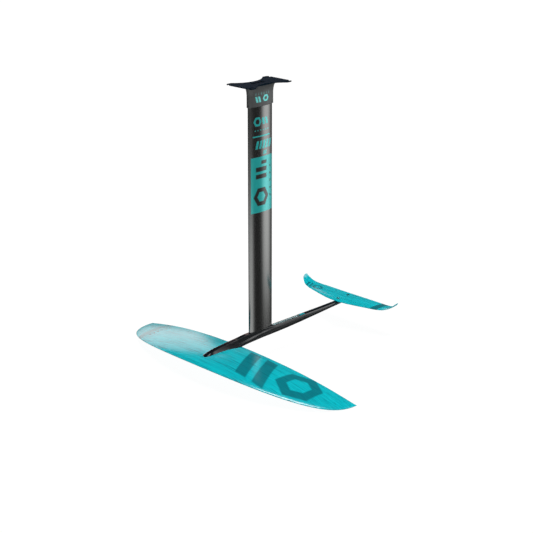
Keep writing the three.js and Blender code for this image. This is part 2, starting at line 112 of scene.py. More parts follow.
def skin_over(rings, closed=False):
    """Points and faces of a skin over rings, an array (ring, point, xyz) whose rings close on
    themselves. A closed skin joins its last ring to its first; an open one gets a fan on each end.
    The faces face outwards when the signed volume, the sum of a.(b x c)/6, is positive."""
    count, around = rings.shape[:2]
    points = rings.reshape(-1, 3)
    rows = np.arange(count if closed else count - 1)[:, None]
    cols = np.arange(around)[None, :]
    a = rows * around + cols
    b = rows * around + (cols + 1) % around
    c = (rows + 1) % count * around + (cols + 1) % around
    d = (rows + 1) % count * around + cols
    quads = np.stack([a, b, c, d], -1).reshape(-1, 4)
    fans = np.zeros((0, 3), int)
    if not closed:
        centres = rings[[0, -1]].mean(axis=1)
        edge = np.arange(around)
        turn = (edge + 1) % around
        last = (count - 1) * around
        hub = np.full(around, len(points))
        fans = np.concatenate([
            np.stack([hub, turn, edge], -1),
            np.stack([hub + 1, last + edge, last + turn], -1),
        ])
        points = np.concatenate([points, centres])
    corners = np.concatenate([quads[:, :3], quads[:, [0, 2, 3]], fans])
    p, q, r = (points[corners[:, i]] for i in range(3))
    if np.einsum("ij,ij->i", p, np.cross(q, r)).sum() < 0:
        quads, fans = quads[:, ::-1], fans[:, ::-1]
    return points, quads.tolist() + fans.tolist()


def cosine_steps(count):
    """Fractions from 0 to 1, (1 - cos t) / 2 for even t: close together at both ends."""
    return (1 - np.cos(np.linspace(0, np.pi, count))) / 2


def soft_step(distance, width):
    """1 where distance is over width / 2, 0 where it is under minus that, straight between."""
    return np.clip(distance / width + 0.5, 0, 1)


# ---- Printed shapes ----
# Each takes arrays of places on a face, a across and b up it, and gives a mask from 0 to 1.


def bar_mask(a, b, low, high, lean=0.0, soft=1.0):
    """A bar with level ends whose sides lean: inside where low < (a - lean b', b) < high, with b'
    counted from the bar's foot."""
    across = a - lean * (b - low[1])
    inside = np.minimum(np.minimum(across - low[0], high[0] - across), np.minimum(b - low[1], high[1] - b))
    return soft_step(inside, soft)


def hexagon_distance(a, b, centre, stretch=1.0):
    """Distance from a hexagon's middle to the side that faces (a, b): the largest of |b| and
    |a| cos 30 + |b| sin 30, with a first divided by stretch."""
    da, db = np.abs(a - centre[0]) / stretch, np.abs(b - centre[1])
    return np.maximum(db, da * math.cos(math.pi / 6) + db * 0.5)


def hexagon_mask(a, b, centre, outer, inner=0.0, soft=1.0, stretch=1.0):
    """A hexagon with a hexagonal hole: inside where inner < distance < outer."""
    distance = hexagon_distance(a, b, centre, stretch)
    hole = soft_step(distance - inner, soft) if inner else 1.0
    return soft_step(outer - distance, soft) * hole


def either(*masks):
    """The larger of several masks at each point."""
    return np.maximum.reduce(masks)


# ---- Mast ----

MAST_CREST = 0.45
MAST_EDGE = 0.9
PRINT_FOOT = -440
PRINT_HEAD = -100


def mast_half(x):
    """Half thickness of the mast: a half ellipse from the nose to the crest, then a parabola."""
    u = (chord / 2 - x) / chord
    fore = thickness / 2 * np.sqrt(np.clip(1 - ((MAST_CREST - u) / MAST_CREST) ** 2, 0, 1))
    aft = thickness / 2 - (thickness - MAST_EDGE) / 2 * ((u - MAST_CREST) / (1 - MAST_CREST)) ** 2
    return np.where(u < MAST_CREST, fore, aft)


def mast_ring(steps, reach=0.0):
    """The mast's outline as (x, y): along port from the nose, round the tail and back along
    starboard, each point moved out by reach along the normal (-slope, 1)."""
    u = cosine_steps(steps)
    x = chord / 2 - chord * u
    x[0] -= 0.01
    slope = np.gradient(mast_half(x), x)
    length = np.hypot(slope, 1)
    port = np.stack([x - reach * slope / length, mast_half(x) + reach / length], -1)
    port[0] = (chord / 2 + reach, 0.02)
    port[-1, 0] = x[-1] - 0.7 * reach
    return np.concatenate([port, port[::-1] * [1, -1]])


def stack_rings(outline_at, levels):
    """Rings (level, point, xyz) from an outline for each height."""
    outlines = np.stack([outline_at(z) for z in levels])
    heights = np.broadcast_to(np.array(levels)[:, None, None], outlines.shape[:2] + (1,))
    return np.concatenate([outlines, heights], -1)


def mast_prints(x, z):
    """Teal and dark masks of the mast's printed sides, from its x and z alone."""
    panel = bar_mask(x, z, (-53.5, -431), (47.5, -242.4))
    stripe = bar_mask(x, z, (-40, -176), (40, -171.5))
    words = [bar_mask(x, z, (20 - 15.5 * i, -216), (30 - 15.5 * i, -189), lean=-0.25) for i in range(5)]
    small = [bar_mask(x, z, (-11 - 9 * i, -236), (-5 - 9 * i, -224), lean=-0.25) for i in range(2)]
    badge = either(
        hexagon_mask(x, z, (20, -125), 15, 8),
        bar_mask(x, z, (-30, -136), (-20, -114), lean=0.25),
        bar_mask(x, z, (-14, -136), (-4, -114), lean=0.25),
    )
    dots = [hexagon_mask(x, z, (30 - 12 * i, -154), 2.2) for i in range(6)]
    bars = [bar_mask(x, z, (-22, -292 - 24 * i), (28, -277 - 24 * i), soft=1.2) for i in range(2)]
    mark = either(
        hexagon_mask(x, z, (3, -378), 30, 16),
        *bars,
        bar_mask(x, z, (-22, -268), (4, -256)),
    )
    ticks = [bar_mask(x, z, (-44, -284 - 25 * i), (-39, -277 - 25 * i)) for i in range(5)]
    return either(panel, stripe, *words, *small, badge, *dots), either(mark, *ticks) * panel


def make_mast():
    """The mast's skin over level outlines, 1 mm apart where it is printed and far apart elsewhere."""
    printed = np.arange(PRINT_FOOT + 1, PRINT_HEAD, 1.0)
    levels = np.concatenate([
        np.linspace(foot_z, PRINT_FOOT, 12), printed, np.linspace(PRINT_HEAD + 1, head_z, 5),
    ])
    rings = stack_rings(lambda z: mast_ring(104), levels)
    points, faces = skin_over(rings)
    teal, dark = mast_prints(points[:, 0], points[:, 2])
    return finish_mesh("mast_body", points, faces, 40, ["mast"], "mast", {"teal": teal, "dark": dark})


def make_gasket():
    """The mast's outline, 0.5 mm larger all round, between the gasket's two faces."""
    low, high = low_high("mast_foot_gasket")
    rings = stack_rings(lambda z: mast_ring(60, 0.5), [low[2], high[2]])
    return finish_mesh("mast_gasket", *skin_over(rings), 40, ["mast_foot_gasket"], "rubber")


# ---- Collar ----

collar_foot = low_high("mast_head_collar")[0][2]
COLLAR_WALL = 3.2
COLLAR_FIT = 0.3
COLLAR_ROUND = 1.6
FLARE_START = -39.5
FLARE_REACH = 10


def collar_profile():
    """The collar's wall as (height, reach from the mast): down the flare, reach = wall +
    10 (1 - sqrt(1 - 0.96 rise^2)), straight to the foot's quarter circle, and up the inside."""
    rise = np.sin(np.linspace(0, np.pi / 2, 14))[::-1]
    flare = np.stack([
        FLARE_START + (head_z - FLARE_START) * rise,
        COLLAR_WALL + FLARE_REACH * (1 - np.sqrt(1 - 0.96 * rise ** 2)),
    ], -1)
    printed = np.linspace(FLARE_START - 1, collar_foot + COLLAR_ROUND, 36)
    straight = np.stack([printed, np.full(36, COLLAR_WALL)], -1)
    turn = np.linspace(0, np.pi / 2, 6)
    foot = np.stack([
        collar_foot + COLLAR_ROUND * (1 - np.sin(turn)),
        COLLAR_WALL - COLLAR_ROUND * (1 - np.cos(turn)),
    ], -1)
    inside = np.array([[collar_foot + 0.4, COLLAR_FIT], [head_z, COLLAR_FIT]])
    return np.concatenate([flare, straight, foot[1:], inside])


def collar_prints(x, z):
    """The collar's small teal shapes: a row of dots, two leaning bars and a hexagon."""
    dots = [hexagon_mask(x, z, (30 - 12 * i, -33.5), 1.8) for i in range(6)]
    return either(
        *dots,
        bar_mask(x, z, (7, -61), (15, -42), lean=0.3),
        bar_mask(x, z, (19, -61), (27, -42), lean=0.3),
        hexagon_mask(x, z, (-15, -50.5), 10.5, 5.5, stretch=1.15),
    )


def make_collar():
    """The mast's outline carried along the collar's profile, one closed ring for each of its points."""
    rings = np.stack([
        np.concatenate([ring, np.full((len(ring), 1), z)], -1)
        for z, ring in ((z, mast_ring(90, reach)) for z, reach in collar_profile())
    ])
    points, faces = skin_over(rings, closed=True)
    teal = collar_prints(points[:, 0], points[:, 2])
    return finish_mesh("collar", points, faces, 50, ["mast_head_collar"], "collar", {"teal": teal})


# ---- Wings ----

SKIN = 1.6


class WingShape:
    """Plan and section of a wing. s runs from -1 to 1 across the span, w = sqrt(1 - s^2) and u is
    the way back from the leading edge."""

    def __init__(self, node, lead, trail, height, crest, camber, edge):
        low, high = low_high(node)
        self.half_span = max(-low[1], high[1])
        self.lead, self.trail, self.height = lead, trail, height
        self.crest, self.camber, self.edge = crest, camber, edge

    def place(self, s, u):
        """x, y, middle height and half thickness. The section is a half ellipse to the crest, then
        a parabola, a tenth of the chord thick, with a trailing edge that thins out at the tips."""
        w = np.sqrt(1 - s * s)
        lead, trail = self.lead(w), self.trail(w)
        length = lead - trail
        fore = np.sqrt(np.clip(1 - (1 - u / self.crest) ** 2, 0, 1))
        aft = 1 - ((u - self.crest) / (1 - self.crest)) ** 2
        round_nose = np.sqrt(np.clip(u / 0.004, 0, 1))
        edge = self.edge / 2 * np.clip(length / 30, 0, 1) * round_nose
        half = np.maximum(0.05 * length * np.where(u < self.crest, fore, aft), edge)
        middle = self.height(np.abs(s), w) + length * self.camber * 4 * u * (1 - u)
        return lead - length * u, s * self.half_span + 0 * u, middle, half


front_wing = WingShape(
    "front_wing_upper_skin",
    lambda w: 62.5 + w * (248.5 + 93 * (1 - w) ** 2.35),
    lambda w: 62.5 + 14.5 * w + 24 * w ** 5,
    lambda s, w: foot_z - 34 - s ** 2 * (68.2 + 10 * w ** 3),
    crest=0.42, camber=0.01, edge=1,
)
tail_wing = WingShape(
    "stabiliser",
    lambda w: -467.8 + 65 * w ** 0.7 + 22.9 * w ** 8,
    lambda w: -467.8 - 21 * w + 12.5 * w ** 4,
    lambda s, w: foot_z - 2 - 4.2 * s ** 2 + 30 * s ** 11,
    crest=0.36, camber=0, edge=0.8,
)


def screw_x(name):
    """Where a CAD screw stands along X."""
    low, high = low_high(name)
    return (low[0] + high[0]) / 2


def span_steps(count, edge_degrees):
    """Places across the span, sin t for even t: close together at the tips."""
    return np.sin(np.radians(np.linspace(-edge_degrees, edge_degrees, count)))


def wing_rings(shape, spans, steps, upper, lower):
    """Rings round a wing, over its top from the nose to the tail and back underneath, at the
    heights middle + upper(half) and middle - lower(half)."""
    s, u = np.meshgrid(spans, cosine_steps(steps), indexing="ij")
    x, y, middle, half = shape.place(s, u)
    top = np.stack([x, y, middle + upper(half)], -1)
    under = np.stack([x, y, middle - lower(half)], -1)[:, ::-1]
    return np.concatenate([top, under], 1)


def middle_faces(shape, x):
    """Heights of a wing's under and upper faces on its middle line, at x."""
    length = shape.lead(1) - shape.trail(1)
    u = np.clip((shape.lead(1) - x) / length, 0, 1)
    _, _, middle, half = shape.place(np.zeros_like(u), u)
    return middle - half, middle + half


def drill(piece, x, profile, sharp_degrees):
    """Cuts a round stepped hole through a piece on its middle line. The profile lists (height,
    radius) pairs, and the cutting body has the points x + r cos t, r sin t at each height."""
    turn = np.linspace(0, 2 * np.pi, 48, endpoint=False)
    rings = np.stack([
        np.stack([x + r * np.cos(turn), r * np.sin(turn), np.full(len(turn), z)], -1) for z, r in profile
    ])
    points, faces = skin_over(rings)
    mesh = bpy.data.meshes.new("drill")
    mesh.from_pydata((points * MM).tolist(), [], faces)
    bit = bpy.data.objects.new("drill", mesh)
    scene.collection.objects.link(bit)
    cut = piece.modifiers.new("hole", "BOOLEAN")
    cut.object = bit
    cut.solver = "EXACT"
    with bpy.context.temp_override(object=piece, active_object=piece):
        bpy.ops.object.modifier_apply(modifier=cut.name)
    bpy.data.objects.remove(bit)
    bpy.data.meshes.remove(mesh)
    piece.data.polygons.foreach_set("use_smooth", np.ones(len(piece.data.polygons), bool))
    piece.data.set_sharp_from_angle(angle=math.radians(sharp_degrees))


def front_prints(x, y):
    """Dark masks of the front wing's top: large shapes under the port half's gloss, and at the
    starboard tip a shaded end with small marks."""
    hexagon = hexagon_mask(x, y, (157, 330), 69, 36, soft=4, stretch=0.98)
    chevron = either(
        bar_mask(y, x, (70, 112), (118, 262), lean=0.5, soft=4),
        bar_mask(y, x, (146, 112), (194, 262), lean=0.5, soft=4),
    )
    tip = soft_step(-y - 352 + 0.1 * (x - 150), 6) * soft_step(y + 386 - 0.1 * (x - 150), 6)
    marks = either(*[
        bar_mask(x, y, (112 + 18 * i, -342), (123 + 18 * i, -330), lean=0.2, soft=3) for i in range(6)
    ])
    return either(hexagon, chevron), tip, marks


def make_front_wing():
    """The front wing's two skins, each between the wing's face and a face one skin further in, and
    the countersunk holes for its screws, from below."""
    rings = wing_rings(front_wing, span_steps(381, 89.5), 84,
                       lambda half: half, lambda half: -np.maximum(half - SKIN, 0))
    points, faces = skin_over(rings)
    large, tip, marks = front_prints(points[:, 0], points[:, 1])
    upper = finish_mesh(
        "front_wing_top", points, faces, 50, ["front_wing_upper_skin"], "laminate",
        {"large": large, "tip": tip, "marks": marks},
    )
    rings = wing_rings(front_wing, span_steps(241, 89.5), 60,
                       lambda half: -np.maximum(half - SKIN, 0), lambda half: half)
    points, faces = skin_over(rings)
    plain = np.zeros(len(points))
    lower = finish_mesh(
        "front_wing_underside", points, faces, 50, ["front_wing_lower_skin"], "laminate",
        {"large": plain, "tip": plain, "marks": plain},
    )
    for i in (1, 2, 3):
        x = screw_x(f"front_wing_screw_{i}")
        under = middle_faces(front_wing, x)[0]
        drill(lower, x, [(under - 1, 9.3), (under + 4.6, 4.5), (under + 6, 4.5)], 50)
    return upper, lower


def tail_prints(x, y):
    """Dark masks of the stabiliser's top: a small hexagon and bars to starboard, and a leaning band
    near the port tip."""
    emblem = either(
        hexagon_mask(x, y, (-436, -135), 22, 12, soft=2, stretch=0.75),
        bar_mask(y, x, (-192, -452), (-184, -422), lean=0.3, soft=2),
        bar_mask(y, x, (-177, -452), (-169, -422), lean=0.3, soft=2),
    )
    band = bar_mask(y, x, (143, -500), (170, -400), lean=-0.05, soft=2)
    return emblem, band


def make_tail_wing():
    """The stabiliser's blade, with the counterbored holes for its screws, from above."""
    rings = wing_rings(tail_wing, span_steps(301, 88.5), 52, lambda half: half, lambda half: half)
    points, faces = skin_over(rings)
    emblem, band = tail_prints(points[:, 0], points[:, 1])
    nothing = np.zeros(len(points))
    blade = finish_mesh(
        "stabiliser_blade", points, faces, 50, ["stabiliser"], "laminate",
        {"large": emblem, "tip": nothing, "marks": band},
    )
    for i in (1, 2):
        x = screw_x(f"stabiliser_screw_{i}")
        under, top = middle_faces(tail_wing, x)
        drill(blade, x, [(under - 1, 3.4), (top - 3.5, 3.4), (top + 1, 7.1)], 50)
    return blade


# ---- Fuselage ----

NOSE_X = 273.5
STEP_X = 115
TAIL_X = -474
# Lines of one side, from nose to tail, as [x, half width, drop below the mast's foot].
TOP_EDGE = [
    [NOSE_X, 0.6, 29], [272, 4, 26.5], [266, 6.5, 23.8], [257, 7.3, 22], [250, 7.5, 19.8], [243, 7.5, 17],
    [228, 7.5, 13.4], [203, 7.5, 10.5], [157, 7.5, 7.2], [111, 7.5, 4.8], [95, 7.5, 3.4], [75, 7.5, 1.8],
    [59, 7.5, 1.4], [-40, 7.5, 1.4], [-62, 7.5, 2.6], [-132, 7.5, 3.4], [-208, 7.5, 4.1],
    [-286, 7.4, 5.2], [TAIL_X, 7.2, 5.5],
]
UPPER_FOOT = [
    [NOSE_X, 0.8, 31], [272, 8, 30], [266, 14, 28.4], [257, 16.4, 28], [245, 17, 27], [115.1, 16, 26],
    [115, 9.6, 20], [60, 9.6, 14.5], [0, 9.6, 8.5], [-60, 10, 6.6], [-200, 10.6, 9.4], [TAIL_X, 9.2, 8.4],
]
LEDGE = [
    [NOSE_X, 0.8, 33], [272, 8, 32.6], [266, 14, 32], [257, 16.4, 32], [245, 17, 31], [115.1, 17, 29],
    [115, 15.4, 24.4], [60, 14.8, 19.4], [0, 14.2, 14], [-60, 13.8, 13], [-200, 12.8, 15.4],
    [TAIL_X, 10.4, 11],
]
LOWER_FOOT = [
    [NOSE_X, 0.8, 38], [272, 8, 38], [266, 14, 38], [257, 16.4, 38], [245, 17, 34], [115.1, 17.2, 32],
    [115, 16.6, 29.5], [60, 16.1, 28.5], [0, 15.5, 27], [-79, 14.2, 26.4], [-124, 13.2, 25.4],
    [-200, 11.6, 23], [-278, 10.6, 19.4], [-358, 9.8, 15.7], [TAIL_X, 9.6, 12],
]
KEEL = [
    [NOSE_X, 0.8, 46], [272, 8, 46], [266, 14, 46], [257, 16.4, 46], [245, 17, 42], [115, 13, 34.5],
    [100, 11.5, 34.2], [81, 10, 33.8], [60, 9, 32.6], [0, 8.5, 31.2], [-79, 8.5, 31.2], [-124, 8, 30.8],
    [-200, 7, 28.6], [-278, 6.5, 24.8], [-358, 6.2, 20.4], [TAIL_X, 5.5, 15.3],
]


def line_along(line, xs):
    """A line's (half width, height) at xs: straight between its points, then averaged over 14 mm, or
    less near the nose, without crossing the step, so that bends are soft and the step stays sharp."""
    knots = np.array(line[::-1])
    offsets = np.linspace(-7, 7, 9)
    at = xs[:, None]
    ease = np.clip((NOSE_X - at) / 20, 0.05, 1)
    near = np.where(
        at > STEP_X,
        np.clip(at + offsets * ease, STEP_X + 0.11, NOSE_X),
        np.clip(at + offsets, TAIL_X, STEP_X),
    )
    width = np.interp(near, knots[:, 0], knots[:, 1]).mean(1)
    drop = np.interp(near, knots[:, 0], knots[:, 2]).mean(1)
    return np.stack([width, foot_z - drop], -1)


def cut_corners(rings, share, rounds):
    """Rounds closed rings by corner cutting: each side a to b is kept from a + share (b - a) to
    b - share (b - a), as many times as rounds."""
    for _ in range(rounds):
        turned = np.roll(rings, -1, axis=1)
        fore = rings + share[:, None, None] * (turned - rings)
        aft = turned - share[:, None, None] * (turned - rings)
        rings = np.stack([fore, aft], 2).reshape(len(rings), -1, 3)
    return rings


def make_fuselage():
    """The bar's skin over outlines across it: at each x five points a side, from the lines above,
    joined into a ring whose corners are cut. Over the front wing its foot is 1.5 mm below the wing's
    top. Its prints are masks on the flat top."""
    nose = NOSE_X - 20 * cosine_steps(40)[:20]
    step = [STEP_X + 0.6, STEP_X + 0.11, STEP_X, STEP_X - 0.5]
    xs = np.concatenate([nose, np.arange(263, 116, -1.5), step, np.arange(113, TAIL_X, -2.0), [TAIL_X]])
    lines = np.stack([line_along(line, xs) for line in (TOP_EDGE, UPPER_FOOT, LEDGE, LOWER_FOOT, KEEL)], 1)
    seat = np.where(xs > 105, middle_faces(front_wing, xs)[1] - 1.5, -1e3)
    lines[..., 1] = np.maximum(lines[..., 1], seat[:, None])
    port = np.concatenate([np.broadcast_to(xs[:, None, None], lines.shape[:2] + (1,)), lines], -1)
    rings = np.concatenate([port, port[:, ::-1] * [1, -1, 1]], 1)
    share = np.where(xs > STEP_X, 0.06, 0.06 + 0.16 * np.clip((60 - xs) / 120, 0, 1))
    points, faces = skin_over(cut_corners(rings, share, 3))
    x, y, z = points.T
    knots = np.array(TOP_EDGE[::-1])
    ridge = foot_z - np.interp(x, knots[:, 0], knots[:, 2])
    # on_top marks the flat top: it bounds the prints, and as the crown mask it carries the top's painted
    # navy reflection and its lower roughness.
    on_top = soft_step(7.6 - np.abs(y), 0.4) * soft_step(z - ridge + 1.2, 0.5)
    dashes = soft_step(np.abs((x + 0.8 * y) / 9 % 1 - 0.5) - 0.26, 0.12)
    pale = dashes * bar_mask(x, y, (-186, -6.5), (-58, 6.5)) * on_top
    block = bar_mask(x, y, (-216, -6.5), (-192, 6.5)) * on_top
    return finish_mesh(
        "fuselage_bar", points, faces, 28, ["fuselage"], "fuselage",
        {"pale": pale, "block": block, "crown": on_top},
    )


# ---- Materials ----


def paint(hex_code):
    """Linear colour from an sRGB hex code: c / 12.92 below 0.04045, else ((c + 0.055) / 1.055)^2.4."""
    c = np.array([int(hex_code[i:i + 2], 16) for i in (0, 2, 4)]) / 255
    linear = np.where(c <= 0.04045, c / 12.92, ((c + 0.055) / 1.055) ** 2.4)
    return (*linear.tolist(), 1.0)


def node(tree, kind, feeds=(), **settings):
    """Adds one node. feeds gives its inputs a value or another node's output."""
    made = tree.nodes.new("ShaderNode" + kind)
    for name, value in settings.items():
        setattr(made, name, value)
    for key, value in dict(feeds).items():
        if isinstance(value, bpy.types.NodeSocket):
            tree.links.new(value, made.inputs[key])
        else:
            made.inputs[key].default_value = value
    return made


def new_finish(name):
    """A material, its node tree, its shader and its Object coordinates in metres."""
    material = bpy.data.materials.new(name)
    material.use_nodes = True
    tree = material.node_tree
    shader = tree.nodes["Principled BSDF"]
    place = node(tree, "TexCoord").outputs["Object"]
    return material, tree, shader, place


def brushed_mast():
    """Anodised aluminium extrusion, brushed along its length: a dark metal with a soft vertical
    gloss. Its printed panel and shapes are a teal film with the same gloss."""
    material, tree, shader, place = new_finish("anodised aluminium with teal print")
    # Brush lines run up the mast, 0.4 mm apart, drawn 1 mm apart so that they show.
    lines = node(tree, "Mapping", {"Vector": place, "Scale": (900, 900, 6)})
    brush = node(tree, "TexNoise", {"Vector": lines.outputs[0], "Scale": 1.0, "Detail": 3.0})
    # The film's tone drifts over some 110 mm.
    blotch = node(tree, "TexNoise", {"Vector": place, "Scale": 9.0, "Detail": 3.0})
    metal = node(tree, "Mix", {0: brush.outputs["Fac"], 6: paint("5c5d5c"), 7: paint("6b6c6b")},
                 data_type="RGBA")
    teal_tone = node(tree, "Mix", {0: blotch.outputs["Fac"], 6: paint("14a09d"), 7: paint("32b3b0")},
                     data_type="RGBA")
    teal = node(tree, "Attribute", attribute_name="teal").outputs["Fac"]
    dark = node(tree, "Attribute", attribute_name="dark").outputs["Fac"]
    printed = node(tree, "Mix", {0: dark, 6: teal_tone.outputs[2], 7: paint("262a28")}, data_type="RGBA")
    colour = node(tree, "Mix", {0: teal, 6: metal.outputs[2], 7: printed.outputs[2]}, data_type="RGBA")
    film = node(tree, "Math", {0: 1.0, 1: teal}, operation="SUBTRACT")
    metallic = node(tree, "MapRange", {"Value": film.outputs[0], "To Min": 0.25, "To Max": 1.0})
    rough = node(tree, "MapRange", {"Value": brush.outputs["Fac"], "To Min": 0.14, "To Max": 0.2})
    bump = node(tree, "Bump", {"Height": brush.outputs["Fac"], "Strength": 0.04, "Distance": 0.0002})
    tree.links.new(colour.outputs[2], shader.inputs["Base Color"])
    tree.links.new(metallic.outputs[0], shader.inputs["Metallic"])
    tree.links.new(rough.outputs[0], shader.inputs["Roughness"])
    tree.links.new(bump.outputs[0], shader.inputs["Normal"])
    return material


def painted_collar():
    """Powder-coated cast aluminium: a dull, slightly grainy graphite with teal shapes printed on."""
    material, tree, shader, place = new_finish("graphite powder coat with teal print")
    # Powder coat grain about 0.6 mm, drawn 2 mm wide so that it shows.
    grain = node(tree, "TexNoise", {"Vector": place, "Scale": 500.0, "Detail": 2.0})
    tone = node(tree, "Mix", {0: grain.outputs["Fac"], 6: paint("464848"), 7: paint("575959")},
                data_type="RGBA")
    teal = node(tree, "Attribute", attribute_name="teal").outputs["Fac"]
    colour = node(tree, "Mix", {0: teal, 6: tone.outputs[2], 7: paint("70dcd8")}, data_type="RGBA")
    bump = node(tree, "Bump", {"Height": grain.outputs["Fac"], "Strength": 0.12, "Distance": 0.0002})
    tree.links.new(colour.outputs[2], shader.inputs["Base Color"])
    tree.links.new(bump.outputs[0], shader.inputs["Normal"])
    shader.inputs["Metallic"].default_value = 0.5
    shader.inputs["Roughness"].default_value = 0.45
    return material


def navy_plate():
    """Hard-anodised black plate, flat, with next to no gloss, painted a very dark navy all over: the navy
    is a painted reflection of the sky on its top face.
    """
    material, tree, shader, place = new_finish("black anodised aluminium with painted navy reflection")
    # The grain of the anodising, too fine to show, is drawn 4 mm wide.
    grain = node(tree, "TexNoise", {"Vector": place, "Scale": 260.0, "Detail": 4.0})
    # The dark navy tones are a painted reflection of the sky on the plate's top, laid over black
    # anodising.
    tone = node(tree, "Mix", {0: grain.outputs["Fac"], 6: paint("03121d"), 7: paint("081b28")},
                data_type="RGBA")
    bump = node(tree, "Bump", {"Height": grain.outputs["Fac"], "Strength": 0.15, "Distance": 0.0002})
    tree.links.new(tone.outputs[2], shader.inputs["Base Color"])
    tree.links.new(bump.outputs[0], shader.inputs["Normal"])
    shader.inputs["Roughness"].default_value = 0.75
    shader.inputs["Specular IOR Level"].default_value = 0.05
    return material


def black_fuselage():
    """Black anodised aluminium bar, bead blasted: near black, with a broad soft gloss on its round sides,
    and a printed row of pale dashes and a teal block on its top behind the mast. Its flat top is painted
    navy black, a painted reflection of the sky."""
    material, tree, shader, place = new_finish("black anodised aluminium with dashes")
    # Blast grain about 0.5 mm, drawn 2 mm wide so that it shows.
    grain = node(tree, "TexNoise", {"Vector": place, "Scale": 450.0, "Detail": 3.0})
    tone = node(tree, "Mix", {0: grain.outputs["Fac"], 6: paint("080b0e"), 7: paint("0f1316")},
                data_type="RGBA")
    crown = node(tree, "Attribute", attribute_name="crown").outputs["Fac"]
    # The flat top's navy black is a painted reflection of the sky on it, not a colour of the metal.
    top = node(tree, "Mix", {0: crown, 6: tone.outputs[2], 7: paint("0a1016")}, data_type="RGBA")
    pale = node(tree, "Attribute", attribute_name="pale").outputs["Fac"]
    dashed = node(tree, "Mix", {0: pale, 6: top.outputs[2], 7: paint("a9c9cc")}, data_type="RGBA")
    block = node(tree, "Attribute", attribute_name="block").outputs["Fac"]
    colour = node(tree, "Mix", {0: block, 6: dashed.outputs[2], 7: paint("1b8f99")}, data_type="RGBA")
    blasted = node(tree, "MapRange", {"Value": grain.outputs["Fac"], "To Min": 0.16, "To Max": 0.23})
    # The flat top is machined after blasting, so it is smoother than the sides.
    rough = node(tree, "Mix", {0: crown, 2: blasted.outputs[0], 3: 0.09})
    bump = node(tree, "Bump", {"Height": grain.outputs["Fac"], "Strength": 0.08, "Distance": 0.0002})
    tree.links.new(colour.outputs[2], shader.inputs["Base Color"])
    tree.links.new(rough.outputs[0], shader.inputs["Roughness"])
    tree.links.new(bump.outputs[0], shader.inputs["Normal"])
    return material


def teal_laminate():
    """Teal-tinted epoxy over spanwise fibres, polished: deep glossy teal with fine streaks along the
    span, darker shapes under the gloss and a greyed tip."""
    material, tree, shader, place = new_finish("teal epoxy laminate")
    # Fibre tows 2.4 mm wide whose tone holds for 110 mm, along Y, in bands 17 mm wide.
    tows = node(tree, "Mapping", {"Vector": place, "Scale": (420, 9, 60), "Rotation": (0, 0, 0.03)})
    fibres = node(tree, "TexNoise", {"Vector": tows.outputs[0], "Scale": 1.0, "Detail": 4.0,
                                     "Roughness": 0.6})
    wide = node(tree, "Mapping", {"Vector": place, "Scale": (60, 3, 20), "Rotation": (0, 0, 0.05)})
    bands = node(tree, "TexNoise", {"Vector": wide.outputs[0], "Scale": 1.0, "Detail": 3.0})
    base = node(tree, "Mix", {0: bands.outputs["Fac"], 6: paint("00a2b0"), 7: paint("05c3cd")},
                data_type="RGBA")
    streak = node(tree, "MapRange", {"Value": fibres.outputs["Fac"], "From Min": 0.52, "From Max": 0.68})
    fine = node(tree, "Mix", {0: streak.outputs[0], 6: base.outputs[2], 7: paint("007682")},
                data_type="RGBA")
    shine = node(tree, "MapRange", {"Value": fibres.outputs["Fac"], "From Min": 0.42, "From Max": 0.28,
                                    "To Min": 0.0, "To Max": 0.55})
    lit = node(tree, "Mix", {0: shine.outputs[0], 6: fine.outputs[2], 7: paint("36d0d6")},
               data_type="RGBA")
    large = node(tree, "Attribute", attribute_name="large").outputs["Fac"]
    veil = node(tree, "MapRange", {"Value": large, "To Min": 0.0, "To Max": 0.76})
    shaped = node(tree, "Mix", {0: veil.outputs[0], 6: lit.outputs[2], 7: paint("015a66")},
                  data_type="RGBA")
    tip = node(tree, "Attribute", attribute_name="tip").outputs["Fac"]
    tip_veil = node(tree, "MapRange", {"Value": tip, "To Min": 0.0, "To Max": 0.6})
    tipped = node(tree, "Mix", {0: tip_veil.outputs[0], 6: shaped.outputs[2], 7: paint("3d7f86")},
                  data_type="RGBA")
    marks = node(tree, "Attribute", attribute_name="marks").outputs["Fac"]
    mark_veil = node(tree, "MapRange", {"Value": marks, "To Min": 0.0, "To Max": 0.85})
    colour = node(tree, "Mix", {0: mark_veil.outputs[0], 6: tipped.outputs[2], 7: paint("0a5d67")},
                  data_type="RGBA")
    rough = node(tree, "MapRange", {"Value": fibres.outputs["Fac"], "To Min": 0.12, "To Max": 0.24})
    bump = node(tree, "Bump", {"Height": fibres.outputs["Fac"], "Strength": 0.05, "Distance": 0.0003})
    tree.links.new(colour.outputs[2], shader.inputs["Base Color"])
    tree.links.new(rough.outputs[0], shader.inputs["Roughness"])
    tree.links.new(bump.outputs[0], shader.inputs["Normal"])
    shader.inputs["IOR"].default_value = 1.55
    return material


def plain_finish(name, low_hex, high_hex, grain_mm, roughness, metallic=0.0, bump_strength=0.1):
    """A finish of one colour with grain: noise of the given grain size mixes two close tones and
    lifts the surface a little."""
    material, tree, shader, place = new_finish(name)
    grain = node(tree, "TexNoise", {"Vector": place, "Scale": 1000 / grain_mm, "Detail": 3.0})
    tone = node(tree, "Mix", {0: grain.outputs["Fac"], 6: paint(low_hex), 7: paint(high_hex)},
                data_type="RGBA")
    bump = node(tree, "Bump", {"Height": grain.outputs["Fac"], "Strength": bump_strength,
                               "Distance": 0.0002})
    tree.links.new(tone.outputs[2], shader.inputs["Base Color"])
    tree.links.new(bump.outputs[0], shader.inputs["Normal"])
    shader.inputs["Roughness"].default_value = roughness
    shader.inputs["Metallic"].default_value = metallic
    return material


def wear(piece, material):
    """Gives a piece its only material."""
    piece.data.materials.clear()
    piece.data.materials.append(material)


wear(make_mast(), brushed_mast())
